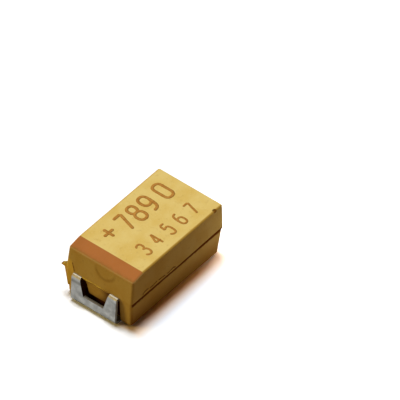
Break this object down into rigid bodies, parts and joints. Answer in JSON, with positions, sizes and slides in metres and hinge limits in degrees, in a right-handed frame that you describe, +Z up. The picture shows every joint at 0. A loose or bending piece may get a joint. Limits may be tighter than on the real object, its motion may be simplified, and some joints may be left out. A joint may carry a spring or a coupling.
{
  "type": "tantalum capacitor",
  "caption": "Moulded tantalum chip capacitor: drafted epoxy case with a bevelled anode end, a forked and a solid folded terminal.",
  "frame": {"origin": "centre of the seating plane, which the undersides of both feet lie in", "axes": "+X from the anode end (bevelled, forked terminal) to the cathode end, +Y across, +Z up"},
  "size_m": [0.006, 0.0035, 0.0026],
  "materials": {
    "case_epoxy": "satin",
    "tin_plate": "satin",
    "tantalum_wire": "satin",
    "fluoropolymer": "satin",
    "sintered_tantalum": "matte",
    "manganese_dioxide": "matte",
    "graphite": "matte",
    "silver_paint": "matte",
    "silver_adhesive": "matte"
  },
  "bodies": {
    "root": {"moulded_case": "case_epoxy", "anode_terminal": "tin_plate", "cathode_terminal": "tin_plate", "anode_wire": "tantalum_wire", "wire_washer": "fluoropolymer", "tantalum_slug": "sintered_tantalum", "electrolyte_layer": "manganese_dioxide", "graphite_layer": "graphite", "silver_layer": "silver_paint", "silver_adhesive": "silver_adhesive"}
  },
  "joints": []
}
